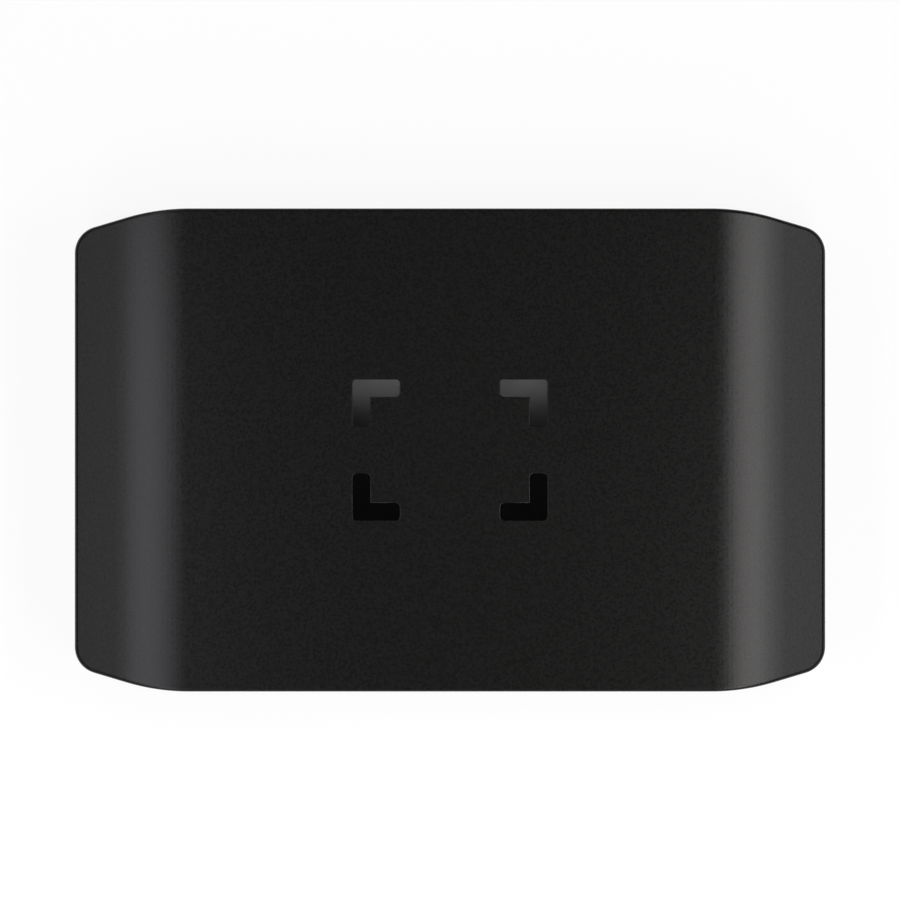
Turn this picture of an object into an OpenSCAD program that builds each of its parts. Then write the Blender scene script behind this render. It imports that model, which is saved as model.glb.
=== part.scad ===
// Video capture box: a flat two-shell case whose ends taper on all sides, with a
// connector panel at the front and at the rear, and a populated board inside.
// Millimetres. The origin is under the middle of the foot pad: +X to the right,
// +Y to the rear, where the video sockets are, and +Z up.

/* [Case] */
// Overall width
body_w = 112; // [106:0.5:124]
// Overall depth
body_d = 72; // [70:0.5:84]
// Overall height, from the table to the top
body_h = 18; // [17.5:0.25:22]
// Length of the straight part of the front and rear edges
edge_flat_w = 77.6; // [74:0.2:80]
// Width of the flat part of the top and of the underside
top_flat_w = 78.4; // [74:0.2:80]
// Fall of the tapered ends over the run below
taper_rise = 7; // [5:0.5:9]
// Run over which the tapered ends fall by the rise above
taper_run = 24; // [20:1:30]
// Bend radius at the start of the taper, seen from above
plan_bend_r = 34; // [26:1:40]
// Bend radius at the start of the taper, seen from the front
top_bend_r = 39; // [30:1:44]
// Radius of the upright corners
corner_r = 4; // [2:0.25:5]
// Radius where the tapered top meets the end face
end_edge_r = 0.5; // [0.4:0.1:2]
// Wall thickness of both shells
wall = 1.8; // [1.5:0.1:2.2]
// Height of the lip that locates the two shells
lip_h = 1; // [0.6:0.1:1.6]
// Thickness of that lip
lip_t = 0.9; // [0.6:0.1:1.1]
// Clearance between parts that slip together
fit_gap = 0.1; // [0.05:0.05:0.2]

/* [Finder marks on the top] */
// Width over the four sunk corner marks
marks_w = 29; // [20:0.5:40]
// Depth over the four sunk corner marks
marks_d = 21; // [16:0.5:30]
// Length of each arm of a mark
mark_arm = 7; // [4:0.5:8]
// Stroke width of the marks
mark_stroke = 2.6; // [1.5:0.1:3.5]
// Depth of the marks below the top
mark_sink = 0.4; // [0.2:0.05:0.6]

/* [Foot pad] */
// Thickness of the rubber pad
pad_t = 1.2; // [0.9:0.1:1.5]
// How far the pad stands proud of the underside
pad_proud = 0.6; // [0.4:0.1:0.8]
// Distance from the edge of the flat underside to the pad
pad_side_margin = 1.6; // [1:0.2:4]
// Distance from the front and rear edges to the pad
pad_end_margin = 6; // [4:0.5:8]
// Corner radius of the pad
pad_r = 4; // [2:0.5:8]

/* [Connector panels] */
// Distance from the end of the straight edge to the panel window
window_margin = 3.8; // [3:0.2:6]
// Height of the panel windows
window_h = 10; // [9.5:0.25:11]
// Corner radius of the panel windows
window_r = 2; // [1:0.25:3]
// How far the panel face lies behind the case face
panel_inset = 0.4; // [0.2:0.1:0.8]
// Thickness of the flange behind the case wall
flange_t = 1.2; // [0.8:0.1:1.6]
// How far the flange laps behind the case wall
flange_lap = 1.2; // [0.8:0.1:1.5]
// Thickness of the keepers that hold the flange
keeper_t = 1.2; // [0.8:0.1:1.6]
// Width of the keepers
keeper_w = 4; // [3:0.25:5]

/* [Board and fasteners] */
// Thickness of the circuit board
board_t = 1.6; // [1.2:0.1:1.8]
// Height of the board above the floor of the case
standoff_h = 3; // [2.6:0.1:3.4]
// Gap from the board to the end walls
board_side_gap = 5.2; // [4:0.2:8]
// Gap from the board to the panel keepers
board_end_gap = 0.7; // [0.4:0.1:1.5]
// Radius of the screw bosses
boss_r = 3.2; // [3:0.1:3.6]
// Distance of the bosses from the pad's edges
boss_inset = 4.2; // [4:0.1:5]
// Shank radius of the case screws
case_screw_r = 1.2; // [1:0.05:1.3]
// Length of the case screws below the head
case_screw_len = 8.5; // [7:0.25:9.5]
// Shank radius of the small screws
small_screw_r = 0.9; // [0.7:0.05:1]

/* [Sockets] */
// Width of a video socket's mouth
video_mouth_w = 14; // [13.8:0.05:14.2]
// Height of a video socket's mouth
video_mouth_h = 4.55; // [4.4:0.05:4.7]
// Depth of a video socket
video_len = 11.5; // [10.5:0.25:12.5]
// Wall thickness of a video socket's shell
video_wall = 0.35; // [0.25:0.05:0.4]
// Distance of the outgoing video socket and the data socket from the middle one
socket_pitch = 21; // [19:0.5:21.5]
// Width of the data socket's mouth
data_mouth_w = 8.34; // [8.2:0.02:8.5]
// Height of the data socket's mouth
data_mouth_h = 2.56; // [2.4:0.02:2.7]
// Depth of the data socket
data_len = 7.4; // [6.5:0.1:8.5]
// Wall thickness of the data socket's shell
data_wall = 0.3; // [0.2:0.05:0.4]
// Bore radius of the sound jack
jack_bore_r = 1.8; // [1.78:0.01:1.85]
// Depth of the sound jack's bore
jack_bore_len = 13.5; // [13:0.25:14]
// Outer radius of the sound jack's nose
jack_nose_r = 2.8; // [2.6:0.1:3.1]
// Distance of the sound jack from the middle of the case
jack_offset = 24; // [20:0.5:25]

/* [Status light] */
// Width of the light bar in the front panel
light_w = 14; // [8:0.5:24]
// Height of the light bar in the front panel
light_h = 1.6; // [1.2:0.1:2]

/* [Heat spreader] */
// Width of the heat spreader
spreader_w = 44; // [40:0.5:46]
// Depth of the heat spreader
spreader_d = 26; // [25:0.5:28]
// Thickness of its base plate
spreader_t = 1.2; // [0.8:0.1:1.6]
// Height of the plate's underside above the board
spreader_lift = 2.6; // [2.5:0.1:3]
// Gap between its fins and the roof of the case
fin_roof_gap = 1.7; // [1:0.1:2.5]
// Thickness of a fin
fin_t = 1; // [0.6:0.1:1.2]
// Distance from one fin to the next
fin_pitch = 4; // [3:0.25:4.5]

/* [Hidden] */
$fn = 96;
eps = 0.5;                // overlap that joins two shapes of one solid, and overrun of a cut
min_r = 0.2;              // smallest radius of an inner corner
arc_root = 3;             // how far an arc's piece reaches into its outline
thread_gap = 0.03;        // gap between a screw's shank and its pilot bore

// Heights
case_z = pad_proud;                       // underside of the case
mid_z = (case_z + body_h) / 2;            // parting plane of the two shells
floor_z = case_z + wall;
roof_z = body_h - wall;
board_z = floor_z + standoff_h;
board_top = board_z + board_t;

// Depths, measured from the middle of the case
wall_y = body_d / 2 - wall;               // inner face of the front and rear walls
panel_y = body_d / 2 - panel_inset;       // outer face of the panels
flange_y = wall_y - flange_t;             // inner face of the panels
keeper_y = flange_y - fit_gap - keeper_t; // inner face of the keepers
mouth_recess = 0.2;
mouth_y = panel_y - mouth_recess;         // mouths of the sockets

// Sizes that follow from the case
window_w = edge_flat_w - 2 * window_margin;
pad_w = top_flat_w - 2 * pad_side_margin;
pad_d = body_d - 2 * pad_end_margin;
board_w = body_w - 2 * wall - 2 * board_side_gap;
board_d = 2 * (keeper_y - board_end_gap);
board_r = 3;
keeper_x = window_w / 2 - keeper_w / 2;
boss_x = pad_w / 2 - boss_inset;
boss_y = pad_d / 2 - boss_inset;
standoff_inset = 5;
standoff_x = board_w / 2 - standoff_inset;
standoff_r = 2.6;
keeper_gap = 0.3;                         // gap from the keepers to the parting plane

// Screws
case_head_r = 2;
case_head_h = 1.5;
case_seat_t = 1.4;
case_seat_z = board_z - case_seat_t;      // where the case screws' heads bear
pilot_spare = 0.5;                        // depth of a pilot bore beyond its screw
head_gap = 0.25;
small_head_r = 1.8;
small_head_h = 1.2;
small_screw_len = 4;

// Video sockets
video_in_x = 0;
video_out_x = -socket_pitch;
video_lift = 0.25;
video_z = board_top + video_lift + video_wall + video_mouth_h / 2;
video_back_y = mouth_y - video_len;
video_chamfer = [1.8, 2.4];
video_side = video_chamfer[1] - video_mouth_h / 2;   // where the upright sides begin
video_corner_r = 0.6;
video_tongue = [10.8, 6.8, 1.2];
video_tongue_z = 0.3;                     // the tongue lies above the middle of the mouth
tongue_recess = 1.2;                      // the tongues stop this far inside the mouths
video_base_len = video_len - tongue_recess - video_tongue[1];
contact_t = 0.12;
video_contact_w = 0.4;
video_contact_pitch = 1;
tail_pitch = 0.5;
contact_short = 0.8;                      // the contacts stop this far from the tongue's tip
tail = [0.3, 1.2, 0.25];                  // soldered end of a contact
video_tail_rise = 1.4;
data_tail_rise = 1.2;
tab_w = 1.4;
tab_stick = 0.6;                          // how far the tabs reach below the board
video_tab_reach = [2.3, 6.5];             // from a socket's back to its tabs
video_tab_y = [for (y = video_tab_reach) video_back_y + y];
tab_root = 0.8;                           // how far the tabs run up the shells' sides

// Data socket
data_x = socket_pitch;
data_lift = 0.1;
data_z = board_top + data_lift + data_wall + data_mouth_h / 2;
data_back_y = mouth_y - data_len;
data_tongue = [6.6, 4.6, 0.7];
data_round = 0.49;                        // its corner radius as a share of its height
data_base_len = data_len - tongue_recess - data_tongue[1];
data_contact_w = 0.25;
data_contact_pitch = 0.5;
data_tab_reach = [0.8, 2.8];
data_tab_y = [for (y = data_tab_reach) data_back_y + y];

// Sound jack
jack_x = -jack_offset;
jack_size = [6.4, 11.5, 5.2];
jack_z = board_top + jack_size[2] / 2;
jack_gap = 0.6;
jack_front_y = flange_y - jack_gap;       // front of the jack's block
spring_t = 0.25;
spring_slot = 1.2;
jack_springs = [[-1, 6], [1, 8.2], [-1, 10.4]];   // side of the bore, distance from the mouth
spring_len = 1.8;
spring_foot = 1;
peg_r = 0.6;
peg_len = 1.2;
jack_peg_y = [4, 9.2];
jack_pegs = [for (y = jack_peg_y) [jack_x, y - jack_front_y]];

// Status light
led = [1.6, 0.8, 0.6];
led_inset = 1.5;
led_y = -board_d / 2 + led_inset;
led_pitch = light_w / 3;
led_gap = 0.3;
pipe_z0 = board_top + led[2] + led_gap;   // underside of the light pipe
pipe_step = 0.6;                          // from there up to the bar in the panel
light_z = pipe_z0 + pipe_step + light_h / 2;
pipe_top = light_z + light_h / 2;
pipe_ear = [1.5, 1];                      // reach and thickness of the light pipe's ears

// Chips behind the sockets, and the processor in front of them: size, then place
chip_room = 2.7;                          // from a socket's tails to its chip
row_room = 4.5;                           // for two rows of small parts between two chips
receiver = [10, 10, 0.9];
receiver_at = [video_in_x, video_back_y - tail[1] - chip_room - receiver[1] / 2];
driver = [7, 7, 0.85];
driver_at = [video_out_x, video_back_y - tail[1] - chip_room - driver[1] / 2];
bridge = [9, 9, 0.9];
bridge_at = [data_x, data_back_y - tail[1] - chip_room - bridge[1] / 2];
processor = [17, 17, 1.6];
processor_lid = [13, 13, 0.5];
processor_shift = 4;
processor_at = receiver_at + [processor_shift, -receiver[1] / 2 - row_room - processor[1] / 2];

// Heat spreader
spreader_at = processor_at;
spreader_z = board_top + spreader_lift;
fin_n = 8;
thermal_edge = 0.5;                       // from a thermal pad to the edge of its chip
spacer_r = 2;
spacer_inset = 3;
spacer_at = [
  spreader_at + [-spreader_w / 2 + spacer_inset, -spreader_d / 2 + spacer_inset],
  spreader_at + [spreader_w / 2 - spacer_inset, spreader_d / 2 - spacer_inset]
];

// Other parts on the board: size, then place
memory = [8, 11, 1];
memory_reach = [[15, -6], [-15, 3]];
memory_at = [for (p = memory_reach) processor_at + p];
front_y = (processor_at[1] - processor[1] / 2 + led_y) / 2;   // between the processor and the LEDs
flash = [5.2, 5.2, 1.8];
flash_reach = [4, 12];
flash_at = [for (x = flash_reach) [processor_at[0] + x, front_y]];
converter = [5, 5, 0.9];
converter_gap = 5.4;
converter_at = [jack_x, jack_size[1] - jack_front_y + converter_gap + converter[1] / 2];
regulator = [3.2, 3.2, 0.9];
inductor = [4.4, 4.2, 2];
power_inset = 12;
power_x = board_w / 2 - power_inset;
power_rows = [10, 4, -6, -12];
regulator_reach = 5.5;                    // from an inductor to its regulator
capacitor_r = 2.5;
capacitor_h = 5.5;
capacitor_base = [5.4, 5.4, 0.8];
capacitor_inset = 11;
capacitor_rows = [-16, -9, 9, 16];
capacitor_at = [for (y = capacitor_rows) [capacitor_inset - board_w / 2, y]];
crystal = [3.2, 2.5, 0.8];
crystal_gap = 3;
crystal_at = [
  receiver_at + [receiver[0] / 2 + crystal_gap + crystal[0] / 2, 0],
  bridge_at + [bridge[0] / 2 + crystal_gap + crystal[0] / 2, 0],
  [processor_at[0] - processor[0] / 2, front_y]
];
guard = [2.5, 1, 0.5];
guard_gap = 1.4;                          // from a socket's tails to its surge guards
guard_pitch = 3.4;
ceramic = [1, 0.5, 0.5];
resistor = [1, 0.5, 0.35];
small_pitch = 1.8;                        // rows of small parts beside the chips
wide_pitch = 2.7;
small_gap = 1.2;

// Colours
case_black = [0.07, 0.07, 0.075];
panel_black = [0.03, 0.03, 0.03];
rubber_black = [0.1, 0.1, 0.1];
board_green = [0.05, 0.2, 0.12];
chip_black = [0.12, 0.12, 0.13];
steel = [0.75, 0.76, 0.78];
gold = [0.85, 0.65, 0.25];

// Shared outlines

function unit(v) = v / norm(v);
function left_of(v) = [-v[1], v[0]];
function next_of(list, i) = list[(i + 1) % len(list)];
function last_of(list, i) = list[(i + len(list) - 1) % len(list)];

// A convex outline, counter-clockwise, moved outwards by a distance
function grown(points, distance) = [
  for (i = [0 : len(points) - 1])
    let (
      n1 = -left_of(unit(points[i] - last_of(points, i))),
      n2 = -left_of(unit(next_of(points, i) - points[i]))
    )
    points[i] + distance * (n1 + n2) / (1 + n1 * n2)
];

// First tangent point, second tangent point and centre of the arc at a corner
function arc_at(points, i, r) =
  let (
    u = unit(points[i] - last_of(points, i)),
    v = unit(next_of(points, i) - points[i]),
    reach = r * abs(cross(u, v)) / (1 + u * v),
    start = points[i] - u * reach
  )
  [start, points[i] + v * reach, start + left_of(u) * r];

// Corners of a rectangle about the origin
function box_points(w, h) = [[w / 2, -h / 2], [w / 2, h / 2], [-w / 2, h / 2], [-w / 2, -h / 2]];

// Corners of a slab that tapers towards both ends
function tapered_points(half_l, half_h, flat_half, bend_r) =
  let (
    slope = norm([taper_rise, taper_run]),
    xb = flat_half + bend_r * taper_rise / (slope + taper_run),
    ye = half_h - (half_l - xb) * taper_rise / taper_run
  )
  [[xb, -half_h], [half_l, -ye], [half_l, ye], [xb, half_h],
   [-xb, half_h], [-half_l, ye], [-half_l, -ye], [-xb, -half_h]];
function tapered_radii(bend_r, end_r) =
  [bend_r, end_r, end_r, bend_r, bend_r, end_r, end_r, bend_r];

// A convex outline with a true arc at each corner
module rounded(points, radii) {
  arcs = [for (i = [0 : len(points) - 1]) arc_at(points, i, radii[i])];
  polygon([for (a = arcs, k = [0, 1]) a[k]]);
  for (i = [0 : len(points) - 1]) {
    start = arcs[i][0];
    end = arcs[i][1];
    c = arcs[i][2];
    inward = min(1, arc_root / radii[i]);
    intersection() {
      translate(c) circle(radii[i]);
      polygon([start + inward * (c - start), 2 * start - c, 2 * points[i] - c,
               2 * end - c, end + inward * (c - end)]);
    }
  }
}

module rounded_box(w, h, r) {
  rounded(box_points(w, h), [r, r, r, r]);
}

// Turns a drawing so that its y is up and its extrusion runs along Y, from y0 to y1
module along_y(y0, y1) {
  translate([0, y1, 0]) rotate([90, 0, 0]) linear_extrude(y1 - y0) children();
}

module plate(z0, z1) {
  translate([0, 0, z0]) linear_extrude(z1 - z0) children();
}

// A box on its base, centred in x and y
module block(size) {
  translate([-size[0] / 2, -size[1] / 2, 0]) cube(size);
}

module on_board(place) {
  translate([place[0], place[1], board_top]) children();
}

module at_corners(x, y) {
  for (sx = [-1, 1], sy = [-1, 1]) translate([sx * x, sy * y, 0]) children();
}

// The upper shell's inside mirrors the lower one's
module upside_down() {
  translate([0, 0, 2 * mid_z]) mirror([0, 0, 1]) children();
}

// Outline of the case from above, moved inwards by an inset
module plan(inset) {
  points = tapered_points(body_w / 2, body_d / 2, edge_flat_w / 2, plan_bend_r);
  rounded(grown(points, -inset),
          [for (r = tapered_radii(plan_bend_r, corner_r)) max(r - inset, min_r)]);
}

// Outline of the case from the front, moved inwards by an inset
module elevation(inset) {
  points = tapered_points(body_w / 2, (body_h - case_z) / 2, top_flat_w / 2, top_bend_r);
  translate([0, mid_z])
    rounded(grown(points, -inset),
            [for (r = tapered_radii(top_bend_r, end_edge_r)) max(r - inset, min_r)]);
}

module case_block(inset) {
  intersection() {
    plate(-eps, body_h + eps) plan(inset);
    along_y(-body_d, body_d) elevation(inset);
  }
}

module half_space(top) {
  size = 2 * (body_w + body_d);
  translate([-size / 2, -size / 2, top ? mid_z : mid_z - size]) cube(size);
}

// One half of the hollow case
module half_case(top) {
  difference() {
    intersection() {
      case_block(0);
      half_space(top);
    }
    case_block(wall);
  }
}

module window(grow) {
  rounded_box(window_w + 2 * grow, window_h + 2 * grow, window_r + grow);
}

module window_cuts() {
  translate([0, 0, mid_z])
    for (side = [-1, 1])
      translate([0, side * body_d / 2, 0]) along_y(-wall - eps, wall + eps) window(0);
}

// Posts behind the panels' flanges, with the seats that the flanges stand on
module keepers() {
  seat_z = mid_z - window_h / 2 - flange_lap;
  for (sx = [-1, 1], sy = [-1, 1])
    translate([sx * keeper_x - keeper_w / 2, 0, floor_z - eps]) {
      translate([0, sy > 0 ? keeper_y : -keeper_y - keeper_t, 0])
        cube([keeper_w, keeper_t, mid_z - keeper_gap - floor_z + eps]);
      translate([0, sy > 0 ? keeper_y : -wall_y - eps, 0])
        cube([keeper_w, wall_y - keeper_y + eps, seat_z - floor_z + eps]);
    }
}

// A pan-head screw that points up, with its head's seat at z = 0
module pan_screw(head_r, head_h, shank_r, len) {
  slot = [1.5 * head_r, 0.3 * head_r, head_h / 2 + eps];
  difference() {
    translate([0, 0, -head_h]) cylinder(head_h, r = head_r);
    translate([0, 0, -head_h - eps]) {
      block(slot);
      rotate(90) block(slot);
    }
  }
  translate([0, 0, -head_h / 4]) cylinder(len + head_h / 4, r = shank_r);
}

// Case

module upper_shell() {
  color(case_black)
  difference() {
    union() {
      difference() {
        half_case(true);
        // Rebate for the lower shell's lip
        plate(mid_z - eps, mid_z + lip_h + fit_gap) plan(wall - lip_t - fit_gap);
      }
      intersection() {
        union() {
          upside_down() keepers();
          at_corners(boss_x, boss_y)
            translate([0, 0, board_top]) cylinder(body_h - board_top, r = boss_r);
        }
        case_block(wall / 2);
      }
    }
    window_cuts();
    finder_marks();
    at_corners(boss_x, boss_y)
      translate([0, 0, board_top - eps])
        cylinder(case_seat_z + case_screw_len + pilot_spare - board_top + eps, r = case_screw_r + thread_gap);
  }
}

// Four sunk corner marks, as in a viewfinder
module finder_marks() {
  plate(body_h - mark_sink, body_h + eps)
    for (sx = [0, 1], sy = [0, 1])
      mirror([sx, 0]) mirror([0, sy])
        translate([marks_w / 2, marks_d / 2]) {
          translate([-mark_arm, -mark_stroke]) square([mark_arm, mark_stroke]);
          translate([-mark_stroke, -mark_arm]) square([mark_stroke, mark_arm]);
        }
}

module lower_shell() {
  color(case_black)
  difference() {
    union() {
      half_case(false);
      // Lip that fits inside the upper shell
      difference() {
        plate(mid_z - eps, mid_z + lip_h) plan(wall - lip_t);
        case_block(wall);
      }
      intersection() {
        union() {
          keepers();
          at_corners(boss_x, boss_y) cylinder(board_z, r = boss_r);
          for (sx = [-1, 1])
            translate([sx * standoff_x, 0, 0]) cylinder(board_z, r = standoff_r);
        }
        case_block(wall / 2);
      }
    }
    window_cuts();
    // Recess for the foot pad
    plate(-eps, pad_t) rounded_box(pad_w + 2 * fit_gap, pad_d + 2 * fit_gap, pad_r + fit_gap);
    at_corners(boss_x, boss_y) {
      cylinder(case_seat_z, r = case_head_r + head_gap);
      cylinder(board_z + eps, r = case_screw_r + head_gap);
    }
    for (sx = [-1, 1])
      translate([sx * standoff_x, 0, board_top - small_screw_len - pilot_spare])
        cylinder(small_screw_len + pilot_spare, r = small_screw_r + thread_gap);
  }
}

// A panel that faces +Y, without its openings
module blank_panel() {
  translate([0, 0, mid_z]) {
    along_y(flange_y, wall_y) window(flange_lap);
    along_y(flange_y, panel_y) window(-fit_gap);
  }
}

module rear_panel() {
  color(panel_black)
  difference() {
    blank_panel();
    for (x = [video_in_x, video_out_x])
      translate([x, 0, video_z])
        along_y(flange_y - eps, panel_y + eps) video_outline(video_wall + fit_gap);
    translate([data_x, 0, data_z])
      along_y(flange_y - eps, panel_y + eps) data_outline(data_wall + fit_gap);
  }
}

module front_panel() {
  color(panel_black)
  difference() {
    rotate(180) blank_panel();
    translate([jack_x, 0, jack_z])
      along_y(-panel_y - eps, eps - flange_y) circle(jack_nose_r + fit_gap);
    translate([0, 0, light_z])
      along_y(-panel_y - eps, eps - flange_y)
        square([light_w + 2 * fit_gap, light_h + 2 * fit_gap], center = true);
  }
}

module foot_pad() {
  color(rubber_black) plate(0, pad_t) rounded_box(pad_w, pad_d, pad_r);
}

// Board

module main_board() {
  color(board_green)
  difference() {
    plate(board_z, board_top) rounded_box(board_w, board_d, board_r);
    translate([0, 0, board_z - eps]) {
      h = board_t + 2 * eps;
      at_corners(boss_x, boss_y) cylinder(h, r = case_screw_r + head_gap);
      for (sx = [-1, 1]) translate([sx * standoff_x, 0, 0]) cylinder(h, r = small_screw_r + head_gap);
      for (p = spacer_at) translate(p) cylinder(h, r = small_screw_r + head_gap);
      for (x = [video_in_x, video_out_x])
        translate([x, 0, 0]) tab_slots(video_mouth_w / 2, video_wall, video_tab_y, h);
      translate([data_x, 0, 0]) tab_slots(data_mouth_w / 2, data_wall, data_tab_y, h);
      for (p = jack_pegs) translate(p) cylinder(h, r = peg_r + fit_gap);
    }
  }
}

// Upright tabs of a socket's shell, from inside the board up to a height
module tabs(half_w, t, places, top) {
  for (s = [-1, 1], y = places)
    translate([s * (half_w + t / 2), y, board_z - tab_stick])
      block([t, tab_w, top - board_z + tab_stick]);
}

module tab_slots(half_w, t, places, h) {
  for (s = [-1, 1], y = places)
    translate([s * (half_w + t / 2), y, 0])
      block([t + 2 * fit_gap, tab_w + 2 * fit_gap, h]);
}

// Video sockets

// Outline of the mouth, wide side up, moved outwards by a distance
module video_outline(grow) {
  w = video_mouth_w / 2;
  h = video_mouth_h / 2;
  points = [[w - video_chamfer[0], -h], [w, video_side], [w, h],
            [-w, h], [-w, video_side], [video_chamfer[0] - w, -h]];
  rounded(grown(points, grow), [for (p = points) max(video_corner_r + grow, min_r)]);
}

module video_shell(x) {
  color(steel)
  translate([x, 0, 0]) {
    difference() {
      union() {
        translate([0, 0, video_z]) along_y(video_back_y, mouth_y) video_outline(video_wall);
        tabs(video_mouth_w / 2, video_wall, video_tab_y, video_z + video_side + tab_root);
      }
      translate([0, 0, video_z]) along_y(video_back_y - eps, mouth_y + eps) video_outline(0);
    }
  }
}

module video_insulator(x) {
  color(chip_black)
  translate([x, video_back_y, video_z]) {
    along_y(0, video_base_len) video_outline(-fit_gap / 2);
    translate([0, video_tongue[1] / 2 + video_base_len, video_tongue_z - video_tongue[2] / 2])
      block(video_tongue);
  }
}

module video_contacts(x) {
  strip = [video_contact_w, video_tongue[1] - contact_short, contact_t];
  strip_y = video_back_y + video_base_len + strip[1] / 2;
  tongue_z = video_z + video_tongue_z;
  color(gold)
  translate([x, 0, 0]) {
    for (i = [-4.5 : 4.5])
      translate([video_contact_pitch * i, strip_y, tongue_z + video_tongue[2] / 2]) block(strip);
    for (i = [-4 : 4])
      translate([video_contact_pitch * i, strip_y, tongue_z - video_tongue[2] / 2 - contact_t]) block(strip);
    for (i = [-9 : 9]) translate([tail_pitch * i, video_back_y, board_top]) solder_tail(video_tail_rise);
  }
}

// Soldered end of a contact: a riser against the insulator's back and a foot on the board
module solder_tail(rise) {
  translate([0, -tail[1] / 2, 0]) block(tail);
  translate([0, -tail[2] / 2, 0]) block([tail[0], tail[2], rise]);
}

// Data socket

module data_outline(grow) {
  h = data_mouth_h + 2 * grow;
  rounded_box(data_mouth_w + 2 * grow, h, data_round * h);
}

module data_socket_shell() {
  color(steel)
  translate([data_x, 0, 0])
  difference() {
    union() {
      translate([0, 0, data_z]) along_y(data_back_y, mouth_y) data_outline(data_wall);
      tabs(data_mouth_w / 2, data_wall, data_tab_y, data_z);
    }
    translate([0, 0, data_z]) along_y(data_back_y - eps, mouth_y + eps) data_outline(0);
  }
}

module data_socket_insulator() {
  color(chip_black)
  translate([data_x, data_back_y, data_z]) {
    along_y(0, data_base_len) data_outline(-fit_gap / 2);
    translate([0, data_tongue[1] / 2 + data_base_len, -data_tongue[2] / 2]) block(data_tongue);
  }
}

module data_socket_contacts() {
  strip = [data_contact_w, data_tongue[1] - contact_short, contact_t];
  strip_y = data_back_y + data_base_len + strip[1] / 2;
  color(gold)
  translate([data_x, 0, 0]) {
    for (i = [-5.5 : 5.5]) {
      for (s = [-1, 1])
        translate([data_contact_pitch * i, strip_y,
                   data_z + s * (data_tongue[2] + contact_t) / 2 - contact_t / 2]) block(strip);
      translate([tail_pitch * i, data_back_y, board_top]) solder_tail(data_tail_rise);
    }
  }
}

// Sound jack

module sound_jack_housing() {
  color(chip_black)
  difference() {
    union() {
      translate([jack_x, -jack_front_y + jack_size[1] / 2, board_top]) block(jack_size);
      translate([jack_x, 0, jack_z]) along_y(-mouth_y, eps - jack_front_y) circle(jack_nose_r);
      for (p = jack_pegs) translate([p[0], p[1], board_top - peg_len]) cylinder(peg_len + eps, r = peg_r);
    }
    translate([jack_x, 0, jack_z]) along_y(-mouth_y - eps, jack_bore_len - mouth_y) circle(jack_bore_r);
    for (s = jack_springs)
      translate([jack_x, s[1] - mouth_y, jack_z])
        translate([s[0] > 0 ? 0 : -jack_size[0], -spring_len / 2 - fit_gap, -spring_slot / 2])
          cube([jack_size[0], spring_len + 2 * fit_gap, spring_slot]);
  }
}

module sound_jack_springs() {
  rise = jack_z + spring_slot / 2 - fit_gap - board_top;
  color(gold)
  for (s = jack_springs)
    translate([jack_x, s[1] - mouth_y, 0])
      mirror([s[0] > 0 ? 0 : 1, 0, 0]) {
        // Blade in the slot, with its edge at the bore's wall
        translate([jack_bore_r, -spring_len / 2, jack_z - spring_slot / 2 + fit_gap])
          cube([jack_size[0] / 2 - jack_bore_r + spring_t, spring_len, spring_slot - 2 * fit_gap]);
        // Leg down the side of the block to the board
        translate([jack_size[0] / 2, -spring_len / 2, board_top]) cube([spring_t, spring_len, rise]);
        translate([jack_size[0] / 2, -spring_len / 2, board_top]) cube([spring_foot, spring_len, spring_t]);
      }
}

// Status light

module light_pipe() {
  facet = pipe_top - pipe_z0;
  back_y = led_y + facet / 2 + led[1];
  color([0.9, 0.92, 0.95, 0.6])
  rotate([90, 0, 90]) {
    // Bar that fills the slot in the panel and turns the light forwards
    translate([0, 0, -light_w / 2])
      linear_extrude(light_w)
        polygon([[-panel_y, light_z - light_h / 2], [-flange_y, light_z - light_h / 2],
                 [-flange_y, pipe_z0], [back_y, pipe_z0], [back_y - facet, pipe_top],
                 [-panel_y, pipe_top]]);
    // Ears that bear on the back of the panel
    translate([-flange_y, pipe_z0, -light_w / 2 - pipe_ear[0]])
      cube([pipe_ear[1], pipe_top - pipe_z0, light_w + 2 * pipe_ear[0]]);
  }
}

module status_leds() {
  color("white")
  for (i = [-1 : 1]) on_board([i * led_pitch, led_y]) block(led);
}

// Parts on the board

module chip(size, place) {
  on_board(place) block(size);
}

module video_processor() {
  base_h = processor[2] - processor_lid[2];
  color(chip_black)
  on_board(processor_at) {
    block([processor[0], processor[1], base_h]);
    translate([0, 0, base_h - eps]) block(processor_lid + [0, 0, eps]);
  }
}

module video_receiver() {
  color(chip_black) chip(receiver, receiver_at);
}

module video_driver() {
  color(chip_black) chip(driver, driver_at);
}

module data_bridge() {
  color(chip_black) chip(bridge, bridge_at);
}

module memory_chips() {
  color(chip_black) for (p = memory_at) chip(memory, p);
}

// Flash memories with four leads on each side
module flash_chips() {
  lead = [0.4, 1.2, 0.2];
  lead_pitch = 1.27;
  lead_root = 0.3;
  color(chip_black)
  for (p = flash_at) on_board(p) {
    translate([0, 0, lead[2] / 2]) block(flash - [0, 0, lead[2] / 2]);
    for (i = [-1.5 : 1.5], s = [-1, 1])
      translate([lead_pitch * i, s * ((flash[1] + lead[1]) / 2 - lead_root), 0]) block(lead);
  }
}

module sound_converter() {
  color(chip_black) chip(converter, converter_at);
}

module power_regulators() {
  color(chip_black) for (y = power_rows) chip(regulator, [power_x - regulator_reach, y]);
}

module power_inductors() {
  color([0.3, 0.3, 0.32]) for (y = power_rows) chip(inductor, [power_x, y]);
}

module polymer_capacitors() {
  color(steel)
  for (p = capacitor_at) on_board(p) {
    block(capacitor_base);
    cylinder(capacitor_h, r = capacitor_r);
  }
}

module clock_crystals() {
  color(steel) for (p = crystal_at) chip(crystal, p);
}

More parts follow.
